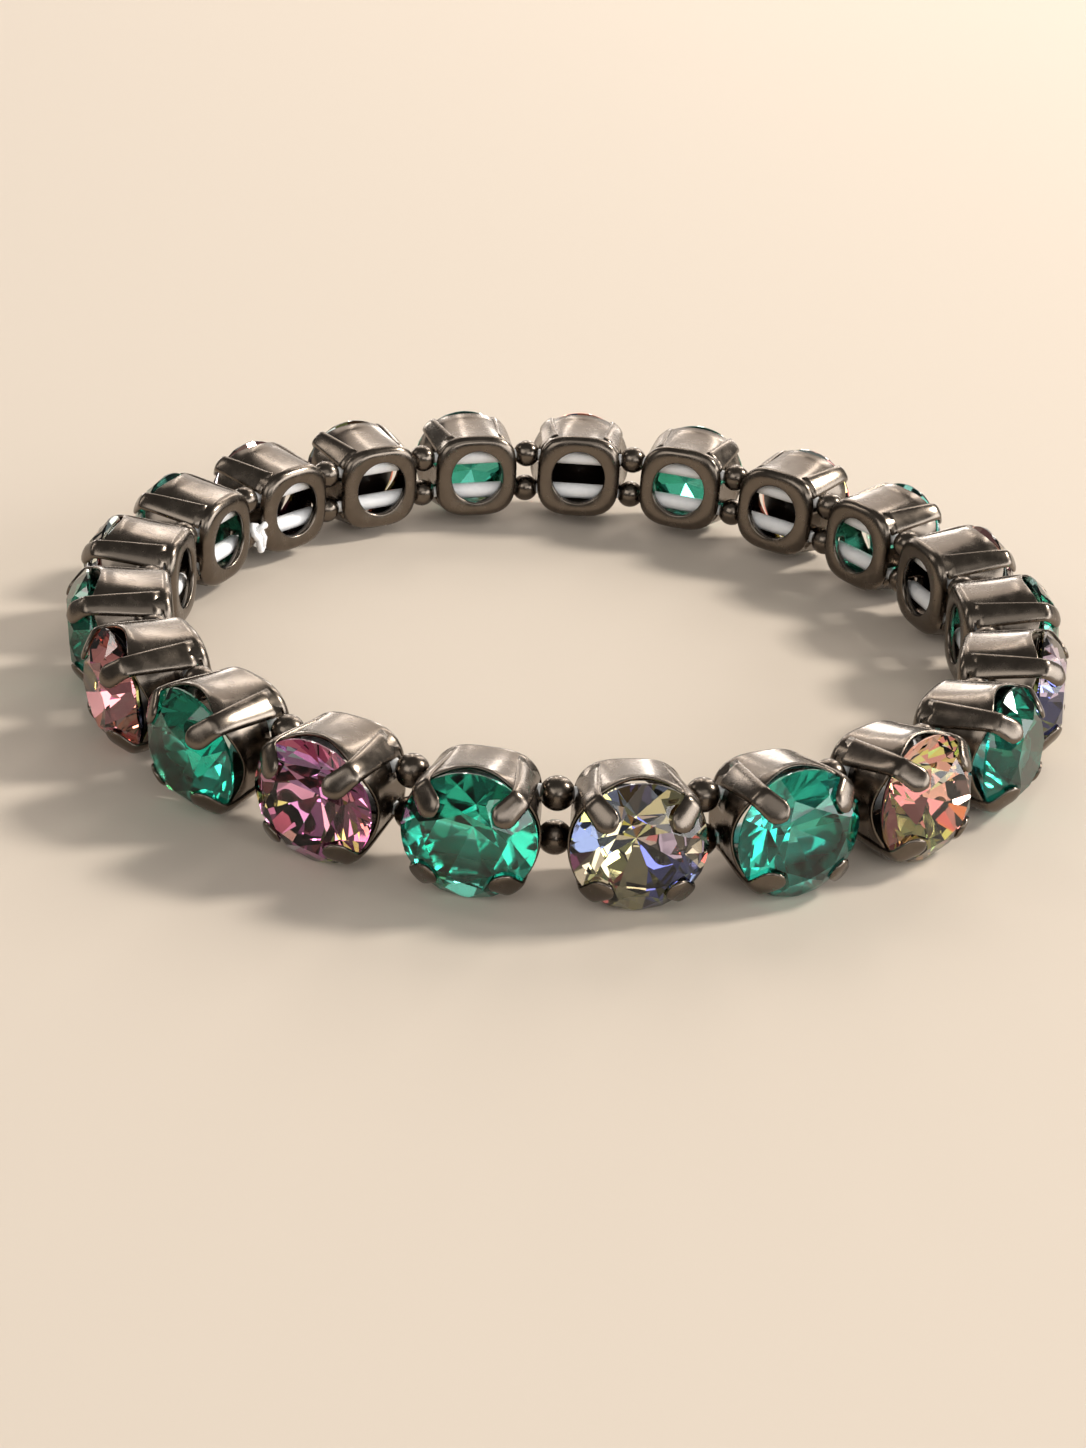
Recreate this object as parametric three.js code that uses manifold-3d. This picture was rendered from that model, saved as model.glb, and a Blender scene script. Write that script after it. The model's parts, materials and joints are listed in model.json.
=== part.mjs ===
// Crystal stretch bracelet: a loop of prong settings, each holding one round brilliant crystal,
// threaded side by side on two elastic cords with one small metal bead on each cord between settings.
//
// Millimetres, +Z up. The bracelet lies on its side on the plane z = 0, with its wrist opening
// along Z. The origin is the middle of the loop's bounding box, on that plane.

import * as THREE from "three";
import { ConvexGeometry } from "three/addons/geometries/ConvexGeometry.js";
import { mergeVertices } from "three/addons/utils/BufferGeometryUtils.js";
import Module from "manifold-3d";

const wasm = await Module();
wasm.setup();

// ---------------------------------------------------------------- driving dimensions

const CORD_RADIUS_OF_LOOP = 29.4; // loop centre to the line of the cords, square to each setting
const FIRST_ANGLE = -98.2; // degrees, where setting 1 stands; the count runs anticlockwise from above
const CORD_SPACING = 2.95; // between the upper and the lower cord
const CORD_DIAMETER = 1.16;
const BEAD_DIAMETER = 1.95;

const CRYSTAL_DIAMETER = 8.2; // a size 39 round stone
const TABLE_SHARE = 0.56; // of the crystal's diameter
const STAR_SHARE = 0.79; // the same, for the ring where the star and kite facets meet
const CROWN_HEIGHT = 1.5;
const GIRDLE_HEIGHT = 0.15;
const PAVILION_HEIGHT = 3.1;

// Depths are measured from the back plate's wrist side, outwards.
const CORD_DEPTH = 1.4;
const GIRDLE_DEPTH = 5.5; // to the lower edge of the girdle
const RIM_DEPTH = 5.25;
const PLATE_THICKNESS = 0.6;

const PLATE_WIDTH = 6.35; // across the flats, above the plate's rounded edge
const PLATE_EDGE = 0.4; // width and height of that edge
const CORNER_SHARE = 1.14; // reach of the plate's round corners, over half its width
const RIM_WIDTH = 8.6; // across the flats
const WALL = 0.32;
const BACK_HOLE_DIAMETER = 4.35;
const CORD_HOLE = 1.4; // each side of the square hole

const PRONG_THICKNESS = 0.42;
const PRONG_WIDTH = 1.6;
const PRONG_TIP_WIDTH = 0.9;
const PRONG_BEND = 0.25; // from the girdle's edge to where the prong lies flat on the crown
const PRONG_REACH = 1.35; // from the girdle's edge to the prong's tip
const PRONG_CLEARANCE = 0.15; // between prong and crystal
const PRONG_HALF_ANGLE = 10; // degrees of the setting's rim that a prong takes up, each way
const PANEL_HALF_ANGLE = 12; // the same, for each of the four flat panels
const STRAP_RISE = 0.14; // how far the strap below each prong stands out of the wall

const BEAD_SIDES = 10;
const BEAD_BANDS = 4;
const GIRDLE_POINTS = 16;
const RIM_BAND = 3; // which pair of the cup's sections the rim lies between

// One row for each setting: its crystal, and how far its top leans outwards, in degrees.
const SETTINGS = [
  { crystal: "emerald", lean: 0 },
  { crystal: "rainbow", lean: -3 },
  { crystal: "emerald", lean: -5 },
  { crystal: "rainbow", lean: -6 },
  { crystal: "emerald", lean: -6 },
  { crystal: "rainbow", lean: -5 },
  { crystal: "emerald", lean: -3 },
  { crystal: "rainbow", lean: -1 },
  { crystal: "emerald", lean: 1 },
  { crystal: "rainbow", lean: 3 },
  { crystal: "emerald", lean: 4 },
  { crystal: "rainbow", lean: 4 },
  { crystal: "emerald", lean: 3 },
  { crystal: "rainbow", lean: 1 },
  { crystal: "rainbow", lean: 0 },
  { crystal: "emerald", lean: 0 },
  { crystal: "rainbow", lean: 1 },
  { crystal: "emerald", lean: 3 },
  { crystal: "rainbow", lean: 5 },
  { crystal: "emerald", lean: 5 },
  { crystal: "rainbow", lean: 3 },
];

const COUNT = SETTINGS.length;
const HALF_STEP = Math.PI / COUNT;
const UP = new THREE.Vector3(0, 0, 1);
const rad = THREE.MathUtils.degToRad;
const number = (k) => String(k + 1).padStart(2, "0");

// ---------------------------------------------------------------- materials

const material = (color, roughness, metalness) =>
  new THREE.MeshStandardMaterial({ color, roughness, metalness });

const MATERIALS = {
  gunmetal: material(0x5b5149, 0.22, 1.0),
  emerald: material(0x0f7a58, 0.05, 0.0),
  rainbow: material(0xb9a05e, 0.05, 0.0),
};

// ---------------------------------------------------------------- solids from meshes and back

// A closed geometry as a manifold-3d solid.
function solidOf(geometry) {
  const bare = geometry.clone();
  bare.deleteAttribute("normal");
  bare.deleteAttribute("uv");
  const merged = mergeVertices(bare, 1e-4);
  return new wasm.Manifold(
    new wasm.Mesh({
      numProp: 3,
      vertProperties: merged.attributes.position.array,
      triVerts: new Uint32Array(merged.index.array),
    }),
  );
}

// A manifold-3d solid as a geometry.
function geometryOf(solid) {
  const mesh = solid.getMesh();
  const geometry = new THREE.BufferGeometry();
  geometry.setAttribute("position", new THREE.BufferAttribute(mesh.vertProperties, 3));
  geometry.setIndex(new THREE.BufferAttribute(mesh.triVerts, 1));
  geometry.computeVertexNormals();
  return geometry;
}

// A geometry from four-cornered faces, each a list of points seen anticlockwise from outside.
function fromQuads(quads) {
  const corners = quads.flatMap(([a, b, c, d]) => [a, b, c, a, c, d]);
  const geometry = new THREE.BufferGeometry().setFromPoints(corners);
  geometry.computeVertexNormals();
  return geometry;
}

// The faces between two rings of points, where the second ring follows the first.
function band(first, second) {
  return first.map((point, i) => {
    const next = (i + 1) % first.length;
    return [point, first[next], second[next], second[i]];
  });
}

// ---------------------------------------------------------------- crystal

// A ring of points round the crystal's axis.
function ring(count, radius, depth, turn = 0) {
  return Array.from({ length: count }, (_, i) => {
    const angle = ((i + turn) * 2 * Math.PI) / count;
    return new THREE.Vector3(radius * Math.cos(angle), radius * Math.sin(angle), depth);
  });
}

// A round brilliant: octagonal table, star, kite and upper girdle facets, and a pointed pavilion.
// Its table corners and kites point at the four prongs.
function crystalGeometry() {
  const girdleRadius = CRYSTAL_DIAMETER / 2;
  const tableRadius = girdleRadius * TABLE_SHARE;
  const girdleTop = GIRDLE_DEPTH + GIRDLE_HEIGHT;
  const tableDepth = girdleTop + CROWN_HEIGHT;
  const slope = CROWN_HEIGHT / (girdleRadius - tableRadius);
  const starRadius = girdleRadius * STAR_SHARE;
  const flat = Math.cos(Math.PI / 8);
  const starDepth = tableDepth - slope * (starRadius * flat - tableRadius);
  const culetDepth = GIRDLE_DEPTH - PAVILION_HEIGHT;
  return new ConvexGeometry([
    ...ring(8, tableRadius, tableDepth),
    ...ring(8, starRadius, starDepth, 0.5),
    ...ring(GIRDLE_POINTS, girdleRadius, girdleTop),
    ...ring(GIRDLE_POINTS, girdleRadius, GIRDLE_DEPTH),
    new THREE.Vector3(0, 0, culetDepth),
  ]);
}

// ---------------------------------------------------------------- setting

// The setting's sections have points at both edges of each flat panel and of each corner strap.
const COLUMNS = [0, 90, 180, 270].flatMap((quarter) => [
  { angle: rad(quarter - PANEL_HALF_ANGLE), strap: false },
  { angle: rad(quarter + PANEL_HALF_ANGLE), strap: false },
  { angle: rad(quarter + 45 - PRONG_HALF_ANGLE), strap: true },
  { angle: rad(quarter + 45 + PRONG_HALF_ANGLE), strap: true },
]);

// One section of the cup, by its reach from the axis to the flat panels and to the corner straps.
function cupSection({ panel, corner, depth }) {
  return COLUMNS.map(({ angle, strap }) => {
    const reach = strap ? corner : panel / Math.cos(rad(PANEL_HALF_ANGLE));
    return new THREE.Vector3(reach * Math.cos(angle), reach * Math.sin(angle), depth);
  });
}

// The four corners of a prong's cross-section: outer pair, then inner pair.
function prongSection(angle, { reach, depth, innerReach, innerDepth, halfWidth }) {
  const corner = (out, z, side) =>
    new THREE.Vector3(out, side * halfWidth, z).applyAxisAngle(UP, angle);
  return [
    corner(reach, depth, -1),
    corner(reach, depth, 1),
    corner(innerReach, innerDepth, 1),
    corner(innerReach, innerDepth, -1),
  ];
}

// Where a prong runs: up past the girdle, over its edge, and down to a narrow tip on the crown.
function prongRoute() {
  const girdleRadius = CRYSTAL_DIAMETER / 2;
  const girdleTop = GIRDLE_DEPTH + GIRDLE_HEIGHT;
  const run = girdleRadius * (1 - TABLE_SHARE);
  const length = Math.hypot(run, CROWN_HEIGHT);
  const square = { reach: CROWN_HEIGHT / length, depth: run / length };
  const inner = PRONG_CLEARANCE;
  const outer = PRONG_CLEARANCE + PRONG_THICKNESS;
  // A section standing square on the crown, this far in from the girdle's edge.
  const onCrown = (inset, width) => {
    const radius = girdleRadius - inset;
    const depth = girdleTop + (inset * CROWN_HEIGHT) / run;
    return {
      reach: radius + square.reach * outer,
      depth: depth + square.depth * outer,
      innerReach: radius + square.reach * inner,
      innerDepth: depth + square.depth * inner,
      halfWidth: width / 2,
    };
  };
  const besideGirdle = {
    reach: girdleRadius + outer,
    depth: girdleTop,
    innerReach: girdleRadius + inner,
    innerDepth: girdleTop,
    halfWidth: PRONG_WIDTH / 2,
  };
  return [
    besideGirdle,
    onCrown(PRONG_BEND, PRONG_WIDTH),
    onCrown(PRONG_REACH, PRONG_TIP_WIDTH),
  ];
}

// The cup with its back plate, round back hole, raised corner straps, and four prongs.
function cupWithProngs() {
  const foot = PLATE_WIDTH / 2;
  const rim = RIM_WIDTH / 2;
  const hole = BACK_HOLE_DIAMETER / 2;
  const seat = CRYSTAL_DIAMETER / 2 + PRONG_CLEARANCE;
  const sections = [
    { panel: hole, corner: hole, depth: 0 },
    { panel: foot - PLATE_EDGE, corner: foot, depth: 0 },
    { panel: foot, corner: foot * CORNER_SHARE + STRAP_RISE, depth: PLATE_EDGE },
    { panel: rim, corner: seat + PRONG_THICKNESS, depth: RIM_DEPTH },
    { panel: rim - WALL, corner: seat, depth: RIM_DEPTH },
    { panel: foot - WALL, corner: foot * CORNER_SHARE - WALL, depth: PLATE_THICKNESS },
    { panel: hole, corner: hole, depth: PLATE_THICKNESS },
  ].map(cupSection);
  const bands = sections.map((section, i) => band(section, sections[(i + 1) % sections.length]));

  // Each prong grows from the rim between the two edges of its strap.
  const isProng = (i) => COLUMNS[i].strap && COLUMNS[(i + 1) % COLUMNS.length].strap;
  const rimFaces = bands[RIM_BAND];
  bands[RIM_BAND] = rimFaces.filter((_, i) => !isProng(i));
  const prongs = rimFaces.flatMap((root, i) => {
    if (!isProng(i)) return [];
    const middle = (COLUMNS[i].angle + COLUMNS[i + 1].angle) / 2;
    const stages = [root, ...prongRoute().map((stage) => prongSection(middle, stage))];
    const sides = stages.slice(1).flatMap((above, n) => band(stages[n], above));
    return [...sides, stages.at(-1)];
  });
  return fromQuads([...bands.flat(), ...prongs]);
}

// The finished setting, with a hole through both side walls for each cord.
function settingGeometry() {
  let solid = solidOf(cupWithProngs());
  for (const side of [-1, 1]) {
    const bar = new THREE.BoxGeometry(RIM_WIDTH * 1.5, CORD_HOLE, CORD_HOLE);
    bar.translate(0, (side * CORD_SPACING) / 2, CORD_DEPTH);
    solid = solid.subtract(solidOf(bar));
  }
  return geometryOf(solid);
}

// ---------------------------------------------------------------- strands

// Where each cord bends: the middle of every bead, between the cord lines of its two settings.
function beadCentres(seats, side) {
  const reach = CORD_RADIUS_OF_LOOP * Math.tan(HALF_STEP);
  const end = (seat, along) =>
    seat.localToWorld(new THREE.Vector3(along * reach, (side * CORD_SPACING) / 2, 0));
  return seats.map((seat, k) =>
    end(seat, 1).add(end(seats[(k + 1) % COUNT], -1)).multiplyScalar(0.5),
  );
}

// A closed cord with a bead fused on at each of its corners.
function strandGeometry(centres) {
  const cord = CORD_DIAMETER / 2;
  const bead = BEAD_DIAMETER / 2;
  const first = Math.asin(cord / bead);
  const rings = centres.flatMap((centre, k) => {
    const before = centres[(k + COUNT - 1) % COUNT];
    const after = centres[(k + 1) % COUNT];
    const along = after.clone().sub(before).normalize();
    const inwards = new THREE.Vector3().crossVectors(UP, along).normalize();
    const up = new THREE.Vector3().crossVectors(along, inwards);
    return Array.from({ length: BEAD_BANDS + 1 }, (_, i) => {
      const angle = first + ((Math.PI - 2 * first) * i) / BEAD_BANDS;
      const middle = centre.clone().addScaledVector(along, -bead * Math.cos(angle));
      return Array.from({ length: BEAD_SIDES }, (_, j) => {
        const turn = (j * 2 * Math.PI) / BEAD_SIDES;
        return middle
          .clone()
          .addScaledVector(inwards, bead * Math.sin(angle) * Math.cos(turn))
          .addScaledVector(up, bead * Math.sin(angle) * Math.sin(turn));
      });
    });
  });
  return fromQuads(rings.flatMap((section, i) => band(section, rings[(i + 1) % rings.length])));
}

// ---------------------------------------------------------------- assembly

const bracelet = new THREE.Group();
const shapes = { setting: settingGeometry(), crystal: crystalGeometry() };

// A seat's own axes are x along the cords, y up and z outwards, from the cord line's middle.
const seats = SETTINGS.map(({ crystal, lean }, k) => {
  const place = new THREE.Group();
  place.rotation.z = rad(FIRST_ANGLE) + 2 * HALF_STEP * k;
  const leaning = new THREE.Group();
  leaning.position.x = CORD_RADIUS_OF_LOOP;
  leaning.rotation.y = rad(lean);
  const seat = new THREE.Group();
  seat.rotation.set(Math.PI / 2, Math.PI / 2, 0);
  for (const [piece, finish] of [
    ["setting", "gunmetal"],
    ["crystal", crystal],
  ]) {
    const mesh = new THREE.Mesh(shapes[piece], MATERIALS[finish]);
    mesh.name = `${piece}_${number(k)}`;
    mesh.position.z = -CORD_DEPTH;
    seat.add(mesh);
  }
  bracelet.add(place.add(leaning.add(seat)));
  bracelet.updateMatrixWorld(true);
  leaning.position.z -= new THREE.Box3().setFromObject(seat, true).min.z;
  bracelet.updateMatrixWorld(true);
  return seat;
});

for (const [name, side] of [
  ["upper_strand", 1],
  ["lower_strand", -1],
]) {
  const mesh = new THREE.Mesh(strandGeometry(beadCentres(seats, side)), MATERIALS.gunmetal);
  mesh.name = name;
  bracelet.add(mesh);
}

// The origin goes to the middle of the whole loop's box.
const middle = new THREE.Box3().setFromObject(bracelet, true).getCenter(new THREE.Vector3());
bracelet.position.set(-middle.x, -middle.y, 0);

export default bracelet;
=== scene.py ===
"""A crystal stretch bracelet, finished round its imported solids.

Round brilliant crystals sit side by side in black nickel prong settings, threaded on two elastic
cords with a small metal bead on each cord between settings. The bracelet lies on its side.
Shapes are worked out in millimetres and put in place in metres.
"""

import json
import logging
import math
from collections.abc import Sequence
from dataclasses import dataclass
from enum import Enum

import bmesh
import bpy
from bmesh.types import BMEdge, BMesh, BMFace, BMVert
from bpy.types import Material, Mesh, Node, NodeSocket, NodeTree, Object
from mathutils import Matrix, Vector


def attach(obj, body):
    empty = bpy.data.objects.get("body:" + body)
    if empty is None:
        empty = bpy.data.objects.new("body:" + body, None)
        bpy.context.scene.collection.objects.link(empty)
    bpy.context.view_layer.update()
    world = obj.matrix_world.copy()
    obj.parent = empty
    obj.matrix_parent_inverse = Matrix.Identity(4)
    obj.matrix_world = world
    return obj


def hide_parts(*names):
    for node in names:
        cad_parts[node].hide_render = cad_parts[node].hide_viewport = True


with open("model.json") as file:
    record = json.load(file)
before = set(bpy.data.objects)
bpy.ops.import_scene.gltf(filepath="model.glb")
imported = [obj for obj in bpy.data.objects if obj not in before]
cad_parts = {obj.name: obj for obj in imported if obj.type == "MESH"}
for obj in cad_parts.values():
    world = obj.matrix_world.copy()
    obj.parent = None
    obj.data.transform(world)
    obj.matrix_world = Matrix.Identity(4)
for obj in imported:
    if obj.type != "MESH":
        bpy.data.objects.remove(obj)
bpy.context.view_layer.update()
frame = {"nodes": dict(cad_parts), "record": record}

MM = 0.001
TO_METRES = Matrix.Scale(MM, 4)
UP = Vector((0.0, 0.0, 1.0))
logging.basicConfig(level=logging.INFO, format="%(name)s: %(message)s")
log = logging.getLogger("bracelet")


# -------------------- colours and shader nodes


def linear(hex_colour: str) -> tuple[float, float, float, float]:
    """Turns an sRGB colour into the linear values that shaders take.

    Args:
        hex_colour: the colour as "#rrggbb".

    Returns:
        Red, green and blue, from 0 to 1, and full opacity.
    """
    channels = [int(hex_colour[i : i + 2], 16) / 255 for i in (1, 3, 5)]
    red, green, blue = (
        c / 12.92 if c <= 0.04045 else ((c + 0.055) / 1.055) ** 2.4 for c in channels
    )
    return red, green, blue, 1.0


def add_node(
    tree: NodeTree,
    kind: str,
    values: dict[str, object] | None = None,
    links: dict[str, NodeSocket] | None = None,
    **settings: object,
) -> Node:
    """Adds one node to a tree.

    Args:
        tree: the node tree.
        kind: the node's type name.
        values: constant input values, by socket name.
        links: sockets that feed the node's inputs, by input name.
        settings: the node's own properties.

    Returns:
        The new node.
    """
    node = tree.nodes.new(kind)
    for name, value in settings.items():
        setattr(node, name, value)
    for name, value in (values or {}).items():
        node.inputs[name].default_value = value
    for name, source in (links or {}).items():
        tree.links.new(source, node.inputs[name])
    return node


def new_material(name: str, values: dict[str, object]) -> tuple[Material, NodeTree, Node]:
    """Makes a material that holds a Principled shader and its output.

    Args:
        name: the material's name.
        values: the shader's constant inputs, by socket name.

    Returns:
        The material, its node tree and the shader.
    """
    material = bpy.data.materials.new(name)
    material.use_nodes = True
    tree = material.node_tree
    tree.nodes.clear()
    shader = add_node(tree, "ShaderNodeBsdfPrincipled", values)
    add_node(tree, "ShaderNodeOutputMaterial", links={"Surface": shader.outputs["BSDF"]})
    return material, tree, shader


# -------------------- finishes


@dataclass(frozen=True)
class BlackNickel:
    """Black nickel plate on stamped brass, tumble-polished.

    The eye gets a dark warm mirror, slightly satin, with faint smears from the tumbling.
    """

    name: str = "black nickel, tumble-polished"
    colour: str = "#605850"
    worn_colour: str = "#7c7268"
    roughness_low: float = 0.19
    roughness_high: float = 0.3
    smear_mm: float = 0.9
    grain_mm: float = 0.09
    grain_bump: float = 0.03
    grain_depth_mm: float = 0.02
    ripple_mm: float = 2.2
    ripple_bump: float = 0.05
    ripple_depth_mm: float = 0.25

    def make(self) -> Material:
        """Builds the material.

        Returns:
            The finished material.
        """
        material, tree, shader = new_material(self.name, {"Metallic": 1.0})
        place = add_node(tree, "ShaderNodeTexCoord").outputs["Object"]
        smear, grain, ripple = (
            add_node(
                tree,
                "ShaderNodeTexNoise",
                {"Scale": 1 / (size_mm * MM), "Detail": detail, "Roughness": roughness},
                {"Vector": place},
            ).outputs["Fac"]
            for size_mm, detail, roughness in (
                (self.smear_mm, 3.0, 0.55),
                (self.grain_mm, 2.0, 0.5),
                (self.ripple_mm, 1.0, 0.5),
            )
        )
        tone = add_node(
            tree,
            "ShaderNodeMix",
            {"A": linear(self.colour), "B": linear(self.worn_colour)},
            {"Factor": smear},
            data_type="RGBA",
        )
        low, high = self.roughness_low, self.roughness_high
        gloss = add_node(
            tree,
            "ShaderNodeMapRange",
            {"From Min": 0.3, "From Max": 0.7, "To Min": low, "To Max": high},
            {"Value": smear},
        )
        dents = add_node(
            tree,
            "ShaderNodeBump",
            {"Strength": self.ripple_bump, "Distance": self.ripple_depth_mm * MM},
            {"Height": ripple},
        )
        bump = add_node(
            tree,
            "ShaderNodeBump",
            {"Strength": self.grain_bump, "Distance": self.grain_depth_mm * MM},
            {"Height": grain, "Normal": dents.outputs["Normal"]},
        )
        tree.links.new(tone.outputs["Result"], shader.inputs["Base Color"])
        tree.links.new(gloss.outputs["Result"], shader.inputs["Roughness"])
        tree.links.new(bump.outputs["Normal"], shader.inputs["Normal"])
        return material


@dataclass(frozen=True)
class CutGlass:
    """Lead-free crystal glass, cut and fire-polished, tinted or clear."""

    name: str
    tint: str
    ior: float = 1.57

    def make(self) -> Material:
        """Builds the material."""
        look = {
            "Base Color": linear(self.tint),
            "Roughness": 0.0,
            "IOR": self.ior,
            "Transmission Weight": 1.0,
        }
        return new_material(self.name, look)[0]


@dataclass(frozen=True)
class FacetCoatingAndReflection:
    """A vapour-deposited coating on the back facets, one colour to each facet; the colours are the
    coating's hue with painted reflection and shade.

    It is a mirror where it is thick, and lets part of the light through where it is thin.
    """

    name: str
    attribute: str
    roughness: float
    metallic: float = 1.0
    thinness: float = 0.0

    def make(self) -> Material:
        """Builds the material.

        Returns:
            The finished material.
        """
        look = {
            "Metallic": self.metallic,
            "Roughness": self.roughness,
            "Transmission Weight": self.thinness,
        }
        material, tree, shader = new_material(self.name, look)
        facet = add_node(tree, "ShaderNodeVertexColor", layer_name=self.attribute)
        # Each facet's colour carries painted reflection and shade as well as the coating's hue.
        tree.links.new(facet.outputs["Color"], shader.inputs["Base Color"])
        return material


@dataclass(frozen=True)
class BackLacquer:
    """Dark lacquer that protects a mirror coating from behind."""

    name: str = "backing lacquer, dark"
    colour: str = "#17110d"
    roughness: float = 0.3

    def make(self) -> Material:
        """Builds the material."""
        look = {"Base Color": linear(self.colour), "Roughness": self.roughness}
        return new_material(self.name, look)[0]


@dataclass(frozen=True)
class ElasticCord:
    """Polyurethane bead elastic, drawn, milky white and slightly glossy."""

    name: str = "polyurethane elastic, milky"
    colour: str = "#ffffff"
    shade_colour: str = "#eef0f2"
    roughness: float = 0.32
    ior: float = 1.5
    streak_mm: float = 0.35

    def make(self) -> Material:
        """Builds the material.

        Returns:
            The finished material.
        """
        look = {"Roughness": self.roughness, "IOR": self.ior}
        material, tree, shader = new_material(self.name, look)
        place = add_node(tree, "ShaderNodeTexCoord").outputs["Object"]
        streak = add_node(
            tree,
            "ShaderNodeTexNoise",
            {"Scale": 1 / (self.streak_mm * MM), "Detail": 2.0},
            {"Vector": place},
        )
        tone = add_node(
            tree,
            "ShaderNodeMix",
            {"A": linear(self.colour), "B": linear(self.shade_colour)},
            {"Factor": streak.outputs["Fac"]},
            data_type="RGBA",
        )
        tree.links.new(tone.outputs["Result"], shader.inputs["Base Color"])
        return material


@dataclass(frozen=True)
class Cloth:
    """Plain cream cloth under the bracelet, kept flat and smooth."""

    name: str = "cream cloth"
    colour: str = "#d2c6b8"
    roughness: float = 0.9

    def make(self) -> Material:
        """Builds the material."""
        look = {"Base Color": linear(self.colour), "Roughness": self.roughness}
        return new_material(self.name, look)[0]


# -------------------- mesh helpers


class Loft:
    """A skin drawn ring by ring, each ring with the same number of points."""

    def __init__(self, mesh: BMesh) -> None:
        """Starts with no ring yet in the mesh to draw in."""
        self.mesh = mesh
        self.ring: list[BMVert] = []
        self.first: list[BMEdge] = []

    def edges(self) -> list[BMEdge]:
        """Returns the current ring's edges, in order."""
        following = self.ring[1:] + self.ring[:1]
        return [
            next(e for e in a.link_edges if e.other_vert(a) is b)
            for a, b in zip(self.ring, following, strict=True)
        ]

    def extend(self, points: Sequence[Vector]) -> None:
        """Draws the first ring, or the skin on to a new one.

        Args:
            points: where the new ring's points go.
        """
        if self.ring:
            made = bmesh.ops.extrude_edge_only(self.mesh, edges=self.edges())
            new = {g for g in made["geom"] if isinstance(g, BMVert)}
            self.ring = [
                next(e.other_vert(v) for e in v.link_edges if e.other_vert(v) in new)
                for v in self.ring
            ]
        else:
            made = bmesh.ops.create_circle(self.mesh, segments=len(points), radius=1.0)
            self.ring = made["verts"]
            self.first = self.edges()
        for vertex, point in zip(self.ring, points, strict=True):
            vertex.co = point

    def close(self) -> None:
        """Joins the last ring to the first."""
        bmesh.ops.bridge_loops(self.mesh, edges=self.first + self.edges())

    def cap(self) -> None:
        """Closes both ends with a face each."""
        bmesh.ops.contextual_create(self.mesh, geom=self.first)
        bmesh.ops.contextual_create(self.mesh, geom=self.edges())


def round_ring(
    middle: Vector, along: Vector, above: Vector, radius: float, sides: int
) -> list[Vector]:
    """Gives the points of a round ring square to a line.

    Args:
        middle: the ring's middle.
        along: the line's direction.
        above: a direction off the line, which sets where the ring starts.
        radius: the ring's radius.
        sides: how many points it has.

    Returns:
        The points, all the way round.
    """
    out = along.cross(above).normalized()
    over = out.cross(along)
    turns = (math.tau * k / sides for k in range(sides))
    return [middle + (out * math.cos(t) + over * math.sin(t)) * radius for t in turns]


def finish_mesh(mesh: BMesh, name: str, smooth: bool, place: Matrix = TO_METRES) -> Mesh:
    """Turns a bmesh into a mesh with its faces pointing out.

    Args:
        mesh: the bmesh in millimetres, which is freed.
        name: the mesh's name.
        smooth: whether its faces are shaded smooth.
        place: takes the bmesh to its place, in metres.

    Returns:
        The mesh.
    """
    bmesh.ops.recalc_face_normals(mesh, faces=mesh.faces[:])
    mesh.transform(place)
    for face in mesh.faces:
        face.smooth = smooth
    data = bpy.data.meshes.new(name)
    mesh.to_mesh(data)
    mesh.free()
    return data


def show(data: Mesh, materials: Sequence[Material]) -> Object:
    """Adds a piece to the scene, at the origin and named as its mesh is.

    Args:
        data: the piece's mesh, already in place.
        materials: its materials, in the order of the mesh's material numbers.

    Returns:
        The new object.
    """
    piece = bpy.data.objects.new(data.name, data)
    bpy.context.scene.collection.objects.link(piece)
    for material in materials:
        data.materials.append(material)
    return piece


def superellipse(half: float, power: float, angle: float) -> float:
    """Gives the reach of a rounded square in one direction.

    Args:
        half: half its width across the flats.
        power: 2 for a circle, more for a squarer shape.
        angle: the direction, in radians.

    Returns:
        The distance from the middle to the edge.
    """
    total = abs(math.cos(angle)) ** power + abs(math.sin(angle)) ** power
    return half / total ** (1 / power)


# -------------------- places of the settings


class Stone(Enum):
    """The two kinds of crystal, by their material slot in the record."""

    EMERALD = "emerald_crystal"
    RAINBOW = "rainbow_crystal"


@dataclass(frozen=True)
class Seat:
    """Where one setting stands: x along the cords, y up, z outwards from its back plate."""

    number: int
    stone: Stone
    matrix: Matrix

    @property
    def suffix(self) -> str:
        """The number as the frame's nodes write it."""
        return f"{self.number:02d}"

    def point(self, x: float, y: float, z: float) -> Vector:
        """Gives a point of the seat, in the frame's metres."""
        return self.matrix @ Vector((x, y, z))


# -------------------- crystal


@dataclass(frozen=True)
class CoatAndReflection:
    """The colours of a crystal's back facets, as they show after light meets two of them. The hues are
    the coating's and the glass's own; the lighter and darker facets are painted reflection and painted
    shade.

    `outer` and `inner` go round anticlockwise from the right as the crystal is seen from its
    front: the girdle facets and the ones that meet at its point.
    """

    outer: tuple[str, ...]
    inner: tuple[str, ...]

    def colour(self, azimuth: float, inner: bool) -> str:
        """Gives a facet's colour from its direction and whether it reaches the point."""
        row = self.inner if inner else self.outer
        return row[int(azimuth / math.tau * len(row)) % len(row)]


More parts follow.
